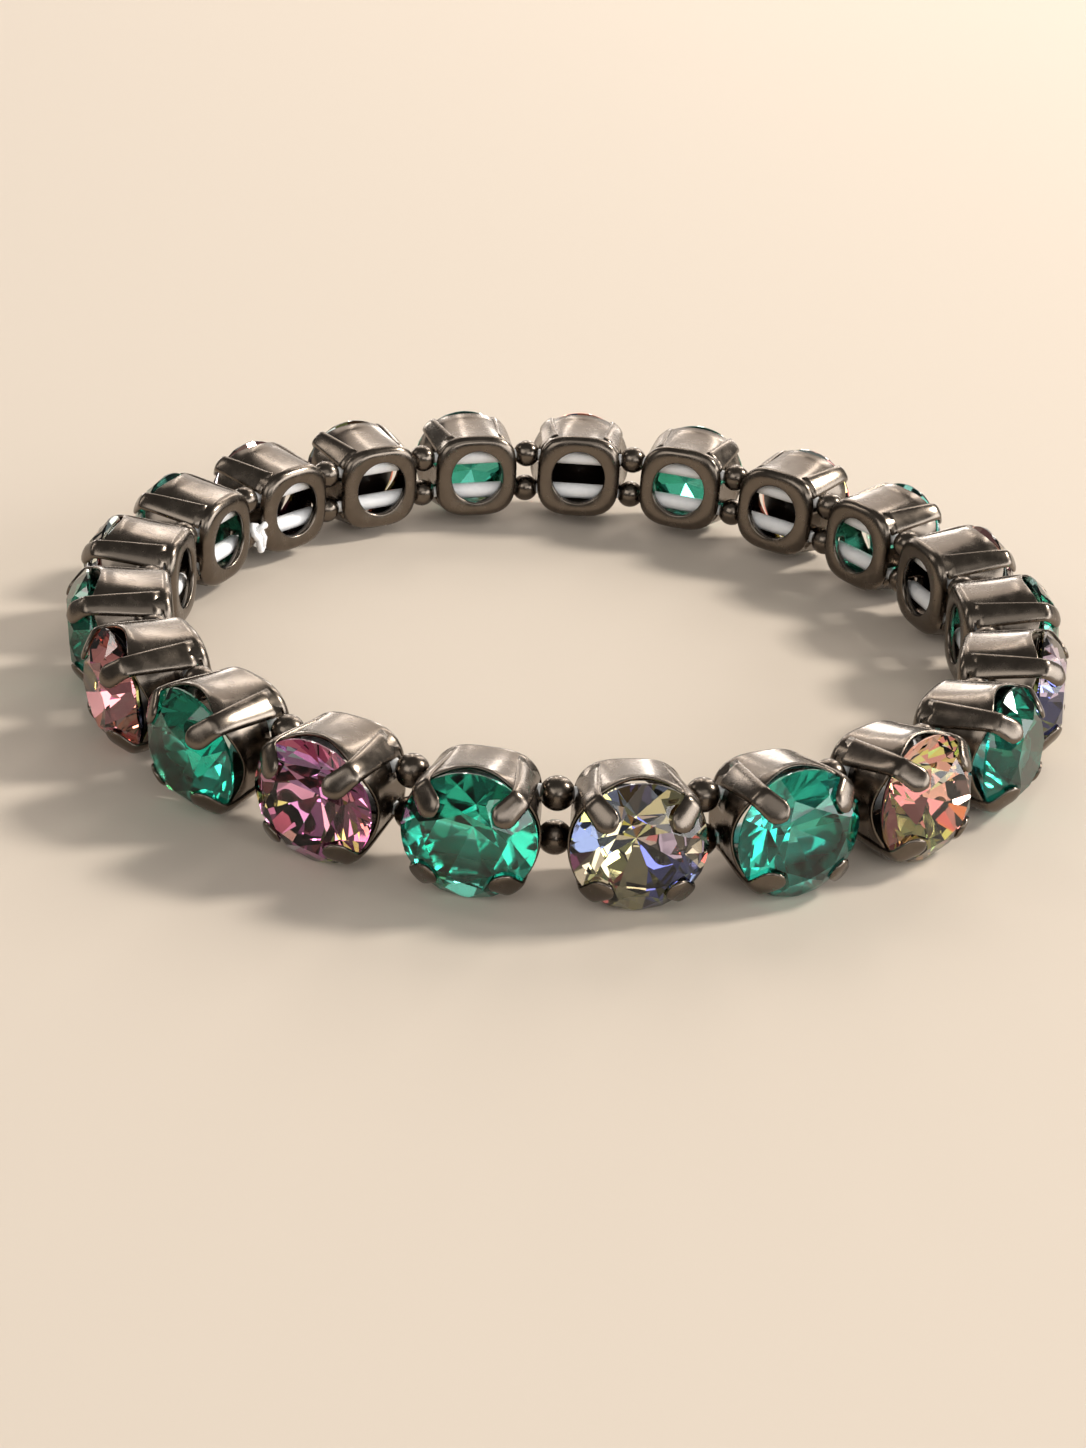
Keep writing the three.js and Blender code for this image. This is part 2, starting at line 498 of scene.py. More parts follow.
class CoatAndReflectionMix(Enum):
    """The coats in use, with painted reflection and shade in their facet colours, each named for the
    colour that shows most.
    """

    # Lighter and darker facets in these rows are painted reflection and painted shade; the hues are
    # the coating's and the glass's own.
    EMERALD = CoatAndReflection(
        outer=(
            "#15806e", "#5cd0b4", "#0a4f42", "#1e9078", "#083c34", "#3cb896", "#127460", "#84e0c8",
            "#0a4a3c", "#259c7e", "#5ca040", "#a8f0dc", "#0e6a58", "#083c34", "#30ac8c", "#1c8058",
        ),
        inner=("#1c9478", "#0c5a4a", "#5cd0b0", "#147c64", "#6cb04c", "#34b090", "#0a4c3e", "#80e0c4"),
    )
    SEA = CoatAndReflection(
        outer=(
            "#28c0cc", "#80e8e8", "#0c7080", "#2cb4bc", "#0a5864", "#50d8d8", "#1c9ca0", "#a0f0ec",
            "#10808c", "#38c8c4", "#28b0a8", "#a8f0ec", "#1898a4", "#0a5864", "#50e0e4", "#2cb0a0",
        ),
        inner=("#34ccd0", "#148890", "#98f8f8", "#24b0b4", "#40d8a8", "#50e4e4", "#107480", "#c0ffff"),
    )
    LIME = CoatAndReflection(
        outer=(
            "#c8b8f0", "#c8e0e8", "#d8e8e0", "#a0b050", "#503018", "#d0e878", "#b0c048", "#c8d880",
            "#e84020", "#c0b860", "#a02818", "#c8b070", "#3840b0", "#a8b850", "#3038a0", "#b8a0d8",
        ),
        inner=("#e8ff30", "#f8ff90", "#687018", "#f0ff70", "#e8ff30", "#f8ff70", "#c8f020", "#505410"),
    )
    PINK = CoatAndReflection(
        outer=(
            "#ffc8c0", "#ffe8f0", "#b87068", "#ffb0a0", "#b06060", "#ffa090", "#b0e0f0", "#ff80c0",
            "#ffe860", "#ff70c4", "#fff0ff", "#ff58bc", "#e0ff50", "#ffc8b0", "#b08878", "#ffd8c0",
        ),
        inner=("#ffb0a0", "#ff70b8", "#ff9080", "#ff6888", "#ff60c0", "#ff80cc", "#ffd878", "#ff9898"),
    )
    CORAL = CoatAndReflection(
        outer=(
            "#ffc860", "#ffa0a0", "#f0fffa", "#d0f8ff", "#e8fff8", "#ffa8a0", "#ffd860", "#ffffff",
            "#e8f8e8", "#fff8f8", "#503028", "#fff870", "#c8f860", "#ffe848", "#ff6860", "#ff9880",
        ),
        inner=("#ffe878", "#ff8898", "#ff6878", "#ffc090", "#fff880", "#ffd878", "#ff9890", "#fff890"),
    )
    VIOLET = CoatAndReflection(
        outer=(
            "#f0ff60", "#fff060", "#503028", "#405080", "#ff7858", "#904030", "#ff8870", "#ff7880",
            "#ff50a8", "#ff7078", "#ffa090", "#ff7850", "#ffb070", "#f0f850", "#a0f040", "#2848b0",
        ),
        inner=("#ffa060", "#ff7850", "#ff6870", "#ff8070", "#ff60a0", "#ff7868", "#ffa868", "#ffe068"),
    )


# Which coat each setting's crystal has, its painted reflection and shade included. The rest are
# emerald.
COAT_AND_REFLECTION_OF_SETTING = {
    2: CoatAndReflectionMix.LIME,
    3: CoatAndReflectionMix.SEA,
    4: CoatAndReflectionMix.CORAL,
    5: CoatAndReflectionMix.SEA,
    6: CoatAndReflectionMix.LIME,
    8: CoatAndReflectionMix.PINK,
    10: CoatAndReflectionMix.CORAL,
    12: CoatAndReflectionMix.VIOLET,
    14: CoatAndReflectionMix.LIME,
    15: CoatAndReflectionMix.PINK,
    17: CoatAndReflectionMix.CORAL,
    19: CoatAndReflectionMix.VIOLET,
    21: CoatAndReflectionMix.PINK,
}


@dataclass(frozen=True)
class FacetRow:
    """Equal facets round the crystal's axis.

    They lean at `slope` degrees from level, and the plane of each passes through the point at
    `reach` and `depth` in its own direction.
    """

    count: int
    turn: float
    slope: float
    reach: float
    depth: float
    coated: bool


@dataclass(frozen=True)
class Crystal:
    """A round brilliant, cut from a glass blank facet by facet."""

    diameter: float = 8.2
    girdle_depth: float = 5.5
    girdle_height: float = 0.15
    crown_height: float = 1.5
    pavilion_height: float = 3.1
    table_share: float = 0.56
    star_slope: float = 24.0
    upper_slope: float = 47.0
    lower_share: float = 0.7
    blank_sides: int = 96
    inner_share: float = 0.54
    backing_gap: float = 0.05
    backing_share: float = 0.9
    attribute: str = "facet"

    @property
    def culet_depth(self) -> float:
        """How far the crystal's point lies in front of the back plate."""
        return self.girdle_depth - self.pavilion_height

    def rows(self) -> list[FacetRow]:
        """Lists the facets, crown first.

        Returns:
            The rows, in the order they are cut.
        """
        radius = self.diameter / 2
        table_radius = radius * self.table_share
        top = self.girdle_depth + self.girdle_height
        table_depth = top + self.crown_height
        flat = math.cos(math.pi / 8)
        kite_slope = math.degrees(math.atan2(self.crown_height, radius - table_radius))
        main = self.pavilion_height / radius
        main_slope = math.degrees(math.atan(main))
        lower = main * (1 - self.lower_share * math.cos(math.pi / 16)) / (1 - self.lower_share)
        lower_slope = math.degrees(math.atan(lower))
        below = self.girdle_depth
        return [
            FacetRow(1, 0.0, 0.0, 0.0, table_depth, False),
            FacetRow(8, 0.0, kite_slope, radius, top, False),
            FacetRow(8, 0.5, self.star_slope, table_radius * flat, table_depth, False),
            FacetRow(16, 0.5, self.upper_slope, radius, top - 0.05, False),
            FacetRow(8, 0.0, main_slope, radius, below, True),
            FacetRow(16, 0.5, lower_slope, radius, below, True),
        ]

    def cut_blank(self) -> BMesh:
        """Cuts the crystal from a cylinder of glass.

        Returns:
            The crystal, its coated facets on material 1 and the rest on material 0.
        """
        mesh = bmesh.new()
        bmesh.ops.create_cone(
            mesh,
            cap_ends=True,
            segments=self.blank_sides,
            radius1=self.diameter / 2,
            radius2=self.diameter / 2,
            depth=2 * (self.crown_height + self.pavilion_height),
            matrix=Matrix.Translation((0.0, 0.0, self.girdle_depth)),
        )
        for row in self.rows():
            for i in range(row.count):
                self.cut_facet(mesh, row, i)
        return mesh

    @staticmethod
    def cut_facet(mesh: BMesh, row: FacetRow, i: int) -> None:
        """Cuts one facet.

        Args:
            mesh: the crystal so far.
            row: the facet's row.
            i: its place in the row.
        """
        azimuth = (i + row.turn) * math.tau / row.count
        slope = math.radians(row.slope)
        side = Vector((math.cos(azimuth), math.sin(azimuth), 0.0))
        facing = -1.0 if row.coated else 1.0
        cut = bmesh.ops.bisect_plane(
            mesh,
            geom=mesh.verts[:] + mesh.edges[:] + mesh.faces[:],
            dist=1e-6,
            plane_co=side * row.reach + UP * row.depth,
            plane_no=side * math.sin(slope) + UP * math.cos(slope) * facing,
            clear_outer=True,
        )
        rim = [g for g in cut["geom_cut"] if isinstance(g, BMEdge)]
        if rim:
            made = bmesh.ops.contextual_create(mesh, geom=rim, mat_nr=int(row.coated))
            for face in made["faces"]:
                face.material_index = int(row.coated)

    def build(self, seat: Seat, coat_and_reflection: CoatAndReflection) -> Mesh:
        """Cuts a crystal, coats its back facets with colours that carry painted reflection and shade,
        and puts it in its seat.

        Args:
            seat: the seat.
            coat_and_reflection: the colours of its back facets, painted reflection and shade included.

        Returns:
            The crystal's mesh.
        """
        mesh = self.cut_blank()
        layer = mesh.loops.layers.float_color.new(self.attribute)
        bmesh.ops.recalc_face_normals(mesh, faces=mesh.faces[:])
        for face in mesh.faces:
            if not face.material_index:
                continue
            middle = face.calc_center_median()
            azimuth = math.atan2(middle.y, middle.x) % math.tau
            inner = math.hypot(middle.x, middle.y) < self.diameter / 2 * self.inner_share
            # Light meets two coated facets, so each has the square root of what shows; what shows is
            # the coating's hue with painted reflection and shade.
            colour = [math.sqrt(c) for c in linear(coat_and_reflection.colour(azimuth, inner))]
            for loop in face.loops:
                loop[layer] = colour
        return finish_mesh(mesh, f"cut_crystal_{seat.suffix}", False, seat.matrix)

    def build_backing(self, seat: Seat) -> Mesh:
        """Makes the lacquer behind a coated crystal.

        Args:
            seat: the seat.

        Returns:
            A thin cone just behind the back facets.
        """
        mesh = bmesh.new()
        height = self.pavilion_height * self.backing_share
        middle = self.culet_depth + height / 2 - self.backing_gap * 2
        bmesh.ops.create_cone(
            mesh,
            cap_ends=False,
            segments=self.blank_sides // 2,
            radius1=self.backing_gap,
            radius2=self.diameter / 2 * self.backing_share,
            depth=height,
            matrix=Matrix.Translation((0.0, 0.0, middle)),
        )
        tip = [e for e in mesh.edges if e.calc_length() < self.backing_gap]
        bmesh.ops.holes_fill(mesh, edges=tip)
        bmesh.ops.recalc_face_normals(mesh, faces=mesh.faces[:])
        bmesh.ops.solidify(mesh, geom=mesh.faces[:], thickness=self.backing_gap / 2)
        return finish_mesh(mesh, f"crystal_backing_{seat.suffix}", False, seat.matrix)


# -------------------- setting


@dataclass(frozen=True)
class CupLevel:
    """One ring of the cup: half its width, how square it is, its depth, and its scallop."""

    half: float
    power: float
    depth: float
    scallop: float = 0.0


@dataclass(frozen=True)
class Setting:
    """A stamped cup with an open back and four straps that fold over the crystal as prongs.

    Depths run outwards from the back plate. A power is 2 for a round outline, more for a square
    one. A roll lists the points of a rounded edge, by their distances from it across and in depth.
    """

    plate_half: float = 3.42
    plate_power: float = 3.1
    plate_edge: float = 0.62
    plate_thickness: float = 0.6
    hole_radius: float = 2.18
    rim_half: float = 4.16
    rim_power: float = 2.12
    rim_depth: float = 5.4
    scallop: float = 0.68
    wall: float = 0.28
    wall_flare: float = 1.3
    cord_hole: float = 1.44
    strap_width: float = 2.1
    neck_width: float = 1.45
    prong_width: float = 1.62
    strap_thickness: float = 0.4
    underside_share: float = 0.6
    bend_radius: float = 0.55
    prong_reach: float = 2.1
    prong_gap: float = 0.03
    sides: int = 96
    strap_sides: int = 20
    hole_roll: tuple[tuple[float, float], ...] = ((0, 0.54), (0, 0.12), (0.04, 0.04), (0.12, 0))
    edge_angles: tuple[float, ...] = (12.0, 30.0, 50.0, 70.0, 90.0)
    lip_roll: tuple[tuple[float, float], ...] = (
        (0, 0.1), (0.04, 0.02), (0.12, 0), (0.22, 0.02), (0.28, 0.12)
    )
    climb_shares: tuple[float, ...] = (0.28, 0.55, 0.8)
    strap_shares: tuple[float, ...] = (0.16, 0.28, 0.42, 0.56, 0.7, 0.83, 0.93)
    bend_shares: tuple[float, ...] = (0.0, 0.25, 0.5, 0.75, 1.0)
    tongue_shares: tuple[float, ...] = (0.3, 0.65, 1.0)
    tip_angles: tuple[float, ...] = (22.0, 42.0, 58.0, 72.0, 84.0)

    def wall_half(self, depth: float) -> tuple[float, float]:
        """Gives the outside of the cup's wall at a depth.

        Args:
            depth: distance from the back plate's outside.

        Returns:
            Half the width across the flats, and the shape's power.
        """
        share = (depth - self.plate_edge) / (self.rim_depth - self.plate_edge)
        share = min(max(share, 0.0), 1.0)
        half = self.plate_half + (self.rim_half - self.plate_half) * share**self.wall_flare
        power = self.plate_power + (self.rim_power - self.plate_power) * share**0.8
        return half, power

    def levels(self, cord_depth: float) -> list[CupLevel]:
        """Lists the cup's rings, from the hole's inner edge round to the plate's inside.

        Args:
            cord_depth: how deep in the cup the cords lie.

        Returns:
            The rings in order.
        """
        plate = self.plate_half - self.plate_edge
        slot = (cord_depth - self.cord_hole / 2, cord_depth + self.cord_hole / 2)
        above = self.rim_depth - self.scallop - slot[1]
        climb = [*slot, *(slot[1] + above * share for share in self.climb_shares)]
        rings = [CupLevel(self.hole_radius + out, 2.0, depth) for out, depth in self.hole_roll]
        rings.append(CupLevel(plate - 0.05, self.plate_power * 0.9, 0.0))
        rings += [
            CupLevel(
                plate + self.plate_edge * math.sin(a),
                self.plate_power * (0.9 + 0.1 * math.sin(a)),
                self.plate_edge * (1 - math.cos(a)),
            )
            for a in map(math.radians, self.edge_angles)
        ]
        rings += [CupLevel(*self.wall_half(z), z) for z in climb]
        half, power = self.wall_half(self.rim_depth)
        rings += [
            CupLevel(half - inset, power, self.rim_depth - drop, self.scallop)
            for inset, drop in self.lip_roll
        ]
        for z in reversed(climb):
            half, power = self.wall_half(z)
            rings.append(CupLevel(half - self.wall, power, z))
        rings.append(
            CupLevel(self.plate_half - self.wall - 0.1, self.plate_power, self.plate_thickness)
        )
        return rings

    def ring_points(self, level: CupLevel) -> list[Vector]:
        """Gives the points of one ring.

        Args:
            level: the ring.

        Returns:
            The points, all the way round.
        """
        points = []
        for i in range(self.sides):
            angle = math.tau * (i + 0.5) / self.sides
            reach = superellipse(level.half, level.power, angle)
            depth = level.depth - level.scallop * math.cos(2 * angle) ** 2
            points.append(Vector((reach * math.cos(angle), reach * math.sin(angle), depth)))
        return points

    def draw_cup(self, mesh: BMesh, cord_depth: float) -> None:
        """Draws the cup's wall and back plate.

        Args:
            mesh: the mesh to draw in.
            cord_depth: how deep in the cup the cords lie.
        """
        loft = Loft(mesh)
        for level in self.levels(cord_depth):
            loft.extend(self.ring_points(level))
        loft.close()

    def cut_cord_holes(self, mesh: BMesh, cord_depth: float, spacing: float) -> None:
        """Opens a hole through both walls for each cord.

        Args:
            mesh: the cup.
            cord_depth: how deep in the cup the cords lie.
            spacing: the distance between the two cords.
        """
        for side in (-1, 1):
            for height in (-spacing / 2, spacing / 2):
                faces = [f for f in mesh.faces if self.in_hole(f, side, height, cord_depth)]
                bmesh.ops.delete(mesh, geom=faces, context="FACES")
                rims = [e for e in mesh.edges if e.is_boundary]
                bmesh.ops.bridge_loops(mesh, edges=rims)

    def in_hole(self, face: BMFace, side: int, height: float, cord_depth: float) -> bool:
        """Tells whether a face of the wall, outside or inside, lies in a cord's way."""
        middle = face.calc_center_median()
        half = self.cord_hole / 2
        return (
            middle.x * side > self.plate_half - self.wall - self.plate_edge
            and abs(middle.y - height) < half
            and abs(middle.z - cord_depth) < half
            and abs(face.normal.z) < 0.5
        )

    def strap_route(self, crystal: Crystal) -> list[tuple[float, float, float, float]]:
        """Follows one strap out of the wall, near the back plate, to the prong's tip.

        Args:
            crystal: the crystal that the prong holds.

        Returns:
            For each station its reach and depth along the corner, half its width, and how far
            it stands out from its middle.
        """
        proud = self.strap_thickness / (1 + self.underside_share)
        wide, neck = self.strap_width / 2, self.neck_width / 2
        stations = []
        first, last = self.strap_shares[0], self.strap_shares[-1]
        for share in self.strap_shares:
            z = self.rim_depth * share
            # The strap rises out of the wall, from just below its surface to its full height.
            rise = math.sin(math.pi / 2 * (share - first) / (last - first)) ** 1.3
            reach = superellipse(*self.wall_half(z), math.pi / 4) - proud * (1.08 - rise)
            stations.append((reach, z, wide + (neck - wide) * share, proud))
        stations += self.prong_route(crystal, stations[-1][0], proud)
        return stations

    def prong_route(
        self, crystal: Crystal, reach: float, proud: float
    ) -> list[tuple[float, float, float, float]]:
        """Follows a prong over the crystal's edge and along its crown.

        Args:
            crystal: the crystal that the prong holds.
            reach: how far out the strap is when it meets the bend.
            proud: how far the strap stands out from its middle.

        Returns:
            Stations like those of the strap.
        """
        neck, tongue = self.neck_width / 2, self.prong_width / 2
        edge = Vector((crystal.diameter / 2, crystal.girdle_depth + crystal.girdle_height))
        run = edge.x * (1 - crystal.table_share)
        along = Vector((-run, crystal.crown_height)).normalized()
        square = Vector((along.y, -along.x))
        start = edge + square * (self.prong_gap + proud * self.underside_share)
        turn = math.atan2(-along.x, along.y)
        corner = start + along * ((reach - start.x) / along.x)
        tangent = self.bend_radius * math.tan(turn / 2)
        middle = corner - Vector((self.bend_radius, tangent))
        stations = []
        for share in self.bend_shares:
            arm = Vector((math.cos(turn * share), math.sin(turn * share)))
            p = middle + arm * self.bend_radius
            stations.append((p.x, p.y, neck, proud))
        bent = (corner + along * tangent - start).length
        straight = self.prong_reach - tongue
        for share in self.tongue_shares:
            p = start + along * (bent + (straight - bent) * share)
            stations.append((p.x, p.y, neck + (tongue - neck) * share, proud))
        for angle in self.tip_angles:
            bow = math.radians(angle)
            thin = proud * (0.4 + 0.6 * math.cos(bow))
            p = (
                edge
                + along * (straight + tongue * math.sin(bow))
                + square * (self.prong_gap + thin * self.underside_share)
            )
            stations.append((p.x, p.y, tongue * math.cos(bow), thin))
        return stations

    def draw_strap(self, mesh: BMesh, crystal: Crystal, azimuth: float) -> None:
        """Draws one strap with its prong.

        Args:
            mesh: the mesh to draw in.
            crystal: the crystal that the prong holds.
            azimuth: the corner it runs up, in radians.
        """
        out = Vector((math.cos(azimuth), math.sin(azimuth), 0.0))
        across = UP.cross(out)
        route = self.strap_route(crystal)
        centres = [out * r + UP * z for r, z, _, _ in route]
        loft = Loft(mesh)
        for i, (_, _, half_width, proud) in enumerate(route):
            behind = centres[max(i - 1, 0)]
            ahead = centres[min(i + 1, len(route) - 1)]
            normal = across.cross((ahead - behind).normalized())
            ring = []
            for k in range(self.strap_sides):
                turn = math.tau * (k + 0.5) / self.strap_sides
                x, y = math.cos(turn), math.sin(turn)
                lift = y if y > 0 else -self.underside_share * math.sqrt(-y)
                ring.append(
                    centres[i]
                    + across * half_width * math.copysign(abs(x) ** 0.85, x)
                    + normal * proud * lift
                )
            loft.extend(ring)
        loft.cap()

    def build(self, seat: Seat, crystal: Crystal, cord_depth: float, spacing: float) -> Mesh:
        """Draws a setting and puts it in its seat.

        Args:
            seat: the seat.
            crystal: the crystal that it holds.
            cord_depth: how deep in the cup the cords lie.
            spacing: the distance between the two cords.

        Returns:
            The setting's mesh.
        """
        mesh = bmesh.new()
        self.draw_cup(mesh, cord_depth)
        bmesh.ops.recalc_face_normals(mesh, faces=mesh.faces[:])
        self.cut_cord_holes(mesh, cord_depth, spacing)
        for quarter in range(4):
            self.draw_strap(mesh, crystal, math.pi / 4 + quarter * math.pi / 2)
        return finish_mesh(mesh, f"stamped_setting_{seat.suffix}", True, seat.matrix)


# -------------------- strands


@dataclass(frozen=True)
class Strand:
    """One elastic cord with a round bead between every two settings."""

    bead_diameter: float = 2.16
    cord_diameter: float = 1.26
    neck_diameter: float = 0.86
    cord_sides: int = 16
    bead_segments: int = 32
    bead_rings: int = 20
    neck_share: float = 0.13
    full_share: float = 0.18

    def bead_centres(self, seats: Sequence[Seat], cord_depth: float, height: float) -> list[Vector]:
        """Finds the beads' middles, half way between neighbouring settings.

        Args:
            seats: all the seats, in order.
            cord_depth: how deep in the cup the cord lies.
            height: the cord's height above the seat's middle.

        Returns:
            The middles, the first one after the first seat.
        """
        reach = self.half_pitch(seats, cord_depth)
        centres = []
        for i, seat in enumerate(seats):
            ahead = seats[(i + 1) % len(seats)]
            near = seat.point(reach, height, cord_depth)
            far = ahead.point(-reach, height, cord_depth)
            centres.append((near + far) / 2 / MM)
        return centres

    @staticmethod
    def half_pitch(seats: Sequence[Seat], cord_depth: float) -> float:
        """Gives half the distance along the cord from one setting to the next."""
        middle = sum((s.point(0, 0, cord_depth) for s in seats), Vector()) / len(seats)
        arm = seats[0].point(0, 0, cord_depth) - middle
        return math.hypot(arm.x, arm.y) / MM * math.tan(math.pi / len(seats))

    def build_beads(self, centres: Sequence[Vector], name: str) -> Mesh:
        """Makes the beads.

        Args:
            centres: the beads' middles.
            name: the mesh's name.

        Returns:
            One mesh with all the beads.
        """
        mesh = bmesh.new()
        for i, centre in enumerate(centres):
            along = centres[(i + 1) % len(centres)] - centres[i - 1]
            turn = along.to_track_quat("Z", "Y").to_matrix().to_4x4()
            bmesh.ops.create_uvsphere(
                mesh,
                u_segments=self.bead_segments,
                v_segments=self.bead_rings,
                radius=self.bead_diameter / 2,
                matrix=Matrix.Translation(centre) @ turn,
            )
        return finish_mesh(mesh, name, smooth=True)

    def build_cord(self, centres: Sequence[Vector], name: str) -> Mesh:
        """Draws the cord through its beads, narrower where a bead grips it.

        Args:
            centres: the beads' middles.
            name: the mesh's name.

        Returns:
            The cord, a closed ring.
        """
        mesh = bmesh.new()
        loft = Loft(mesh)
        full, neck = self.cord_diameter / 2, self.neck_diameter / 2
        stations = (
            (-self.neck_share, neck),
            (self.neck_share, neck),
            (self.full_share, full),
            (1 - self.full_share, full),
        )
        for i, centre in enumerate(centres):
            before, after = centres[i - 1], centres[(i + 1) % len(centres)]
            for share, radius in stations:
                middle = centre.lerp(before if share < 0 else after, abs(share))
                along = (after - centre if share > 0 else centre - before).normalized()
                loft.extend(round_ring(middle, along, UP, radius, self.cord_sides))
        loft.close()
        return finish_mesh(mesh, name, smooth=True)


@dataclass(frozen=True)
class Knot:
    """The knot that ties the elastic, pressed against its bead, with two cut ends."""

    thickness: float = 0.5
    size: float = 0.25
    crinkle: float = 0.16
    sides: int = 12
    points: int = 36
    end_points: int = 3
    middle: tuple[float, float, float] = (-0.62, 0.35, -1.0)
    ends: tuple[tuple[tuple[float, float, float], ...], ...] = (
        ((-0.5, 0.3, -1.0), (-0.75, -0.15, -1.12), (-0.95, -0.6, -1.1), (-1.05, -1.0, -0.95)),
        ((-0.6, 0.1, -1.0), (-0.5, -0.35, -1.2), (-0.62, -0.8, -1.15), (-0.75, -1.15, -1.2)),
    )

    def draw_tube(self, mesh: BMesh, route: Sequence[Vector], closed: bool) -> None:
        """Draws crinkled elastic along a route.

        Args:
            mesh: the mesh to draw in.
            route: the elastic's middle line.
            closed: whether the route meets its own start.
        """
        loft = Loft(mesh)
        off_line = Vector((0.3, 0.2, 1.0))
        last = len(route) - 1
        for i, point in enumerate(route):
            behind = route[i - 1] if i or closed else point
            ahead = route[(i + 1) % len(route)] if i < last or closed else point
            along = (ahead - behind).normalized()
            radius = self.thickness / 2 * (1 + self.crinkle * (-1) ** i)
            loft.extend(round_ring(point, along, off_line, radius, self.sides))
        if closed:
            loft.close()
        else:
            loft.cap()

    def build(self, bead: Vector, seat: Seat) -> Mesh:
        """Ties the knot beside a bead.

        Args:
            bead: the bead's middle.
            seat: the setting that the knot lies against, before the bead.

        Returns:
            The knot's mesh.
        """
        mesh = bmesh.new()
        middle = Vector(self.middle)
        knot = []
        for i in range(self.points):
            t = math.tau * i / self.points
            # An overhand knot closed on itself, a little wider along the strand.
            knot.append(
                middle
                + Vector(
                    (
                        math.sin(t) + 2 * math.sin(2 * t),
                        (math.cos(t) - 2 * math.cos(2 * t)) * 1.3,
                        -math.sin(3 * t),
                    )
                )
                * self.size
            )
        self.draw_tube(mesh, knot, closed=True)
        for end in self.ends:
            corners = [Vector(p) for p in end]
            route = [
                a.lerp(b, k / self.end_points)
                for a, b in zip(corners, corners[1:], strict=False)
                for k in range(self.end_points)
            ]
            self.draw_tube(mesh, [*route, corners[-1]], closed=False)
        turn = seat.matrix.to_3x3().normalized().to_4x4()
        return finish_mesh(mesh, "elastic_knot", True, TO_METRES @ Matrix.Translation(bead) @ turn)


# -------------------- the bracelet


@dataclass(frozen=True)
class Bracelet:
    """The whole bracelet, each piece built round its solid in the frame."""

    crystal: Crystal = Crystal()
    setting: Setting = Setting()
    strand: Strand = Strand()
    knot: Knot = Knot()
    knot_after: int = 15
    cord_depth: float = 1.4
    cord_spacing: float = 2.95

    def seats(self) -> list[Seat]:
        """Reads each setting's place from its crystal in the frame.

        Returns:
            The seats, in order round the loop.
        """
        seats = []
        for part in frame["record"]["subparts"]:
            node = part["node"]
            if not node.startswith("crystal_"):
                continue
            solid = frame["nodes"][node].data
            corners = [vertex.co.copy() for vertex in solid.vertices]
            middle = sum(corners, Vector()) / len(corners)
            inwards = Vector((-middle.x, -middle.y, 0.0)).normalized()
            culet = max(corners, key=lambda p: p.dot(inwards))
            outwards = (middle - culet).normalized()
            along = UP.cross(outwards).normalized()
            above = outwards.cross(along)
            turn = Matrix((along, above, outwards)).transposed().to_4x4()
            base = culet - outwards * self.crystal.culet_depth * MM
            matrix = Matrix.Translation(base) @ turn @ TO_METRES
            seats.append(Seat(int(node[-2:]), Stone(part["material_slot"]), matrix))
        return sorted(seats, key=lambda seat: seat.number)

    def build(self) -> None:
        """Builds every piece and dresses it."""
        seats = self.seats()
        nickel = BlackNickel().make()
        elastic = ElasticCord().make()
        lacquer = BackLacquer().make()
        glass = {
            Stone.EMERALD: CutGlass("emerald crystal glass, cut", "#40d8bc").make(),
            Stone.RAINBOW: CutGlass("clear crystal glass, cut", "#ffffff").make(),
        }
        mirror = {
            Stone.EMERALD: FacetCoatingAndReflection(
                "emerald coating with painted reflection, thin", self.crystal.attribute, 0.07, 0.4, 1.0
            ).make(),
            Stone.RAINBOW: FacetCoatingAndReflection(
                "rainbow coating with painted reflection, vapour-deposited", self.crystal.attribute, 0.02
            ).make(),
        }
        for seat in seats:
            cup = self.setting.build(seat, self.crystal, self.cord_depth, self.cord_spacing)
            self.dress(cup, [nickel], "gunmetal", f"setting_{seat.suffix}")
            # Each crystal's facet colours carry painted reflection and shade as well as the coating's
            # hue.
            coat_and_reflection = COAT_AND_REFLECTION_OF_SETTING.get(seat.number, CoatAndReflectionMix.EMERALD).value
            stone = self.crystal.build(seat, coat_and_reflection)
            looks = [glass[seat.stone], mirror[seat.stone]]
            self.dress(stone, looks, seat.stone.value, f"crystal_{seat.suffix}")
            if seat.stone is Stone.RAINBOW:
                self.dress(self.crystal.build_backing(seat), [lacquer], seat.stone.value)
        for side, height in (("upper", 0.5), ("lower", -0.5)):
            centres = self.strand.bead_centres(seats, self.cord_depth, height * self.cord_spacing)
            beads = self.strand.build_beads(centres, f"{side}_beads")
            self.dress(beads, [nickel], "gunmetal", f"{side}_strand")
            cord = self.strand.build_cord(centres, f"{side}_cord")
            self.dress(cord, [elastic], "elastic_cord")
        last = self.knot_after - 1
        knot = self.knot.build(centres[last], seats[last])
        self.dress(knot, [elastic], "elastic_cord")

    @staticmethod
    def dress(
        data: Mesh, materials: Sequence[Material], slot: str, node: str | None = None
    ) -> None:
        """Shows a piece and ties it to the frame.

        Args:
            data: the piece's mesh.
            materials: its materials.
            slot: its material slot in the record; not used.
            node: the solid that it stands for, if there is one.
        """
        piece = show(data, materials)
        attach(piece, "root")
        if node:
            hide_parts(node)
        log.info("%s: %d faces", piece.name, len(piece.data.polygons))


# -------------------- studio


@dataclass(frozen=True)
class LightCard:
    """A softbox: its direction in degrees, from +X and from level, its metres and its watts."""

    name: str
    azimuth: float
    elevation: float
    distance: float
    width: float
    height: float
    power: float
    colour: str = "#fff8f0"


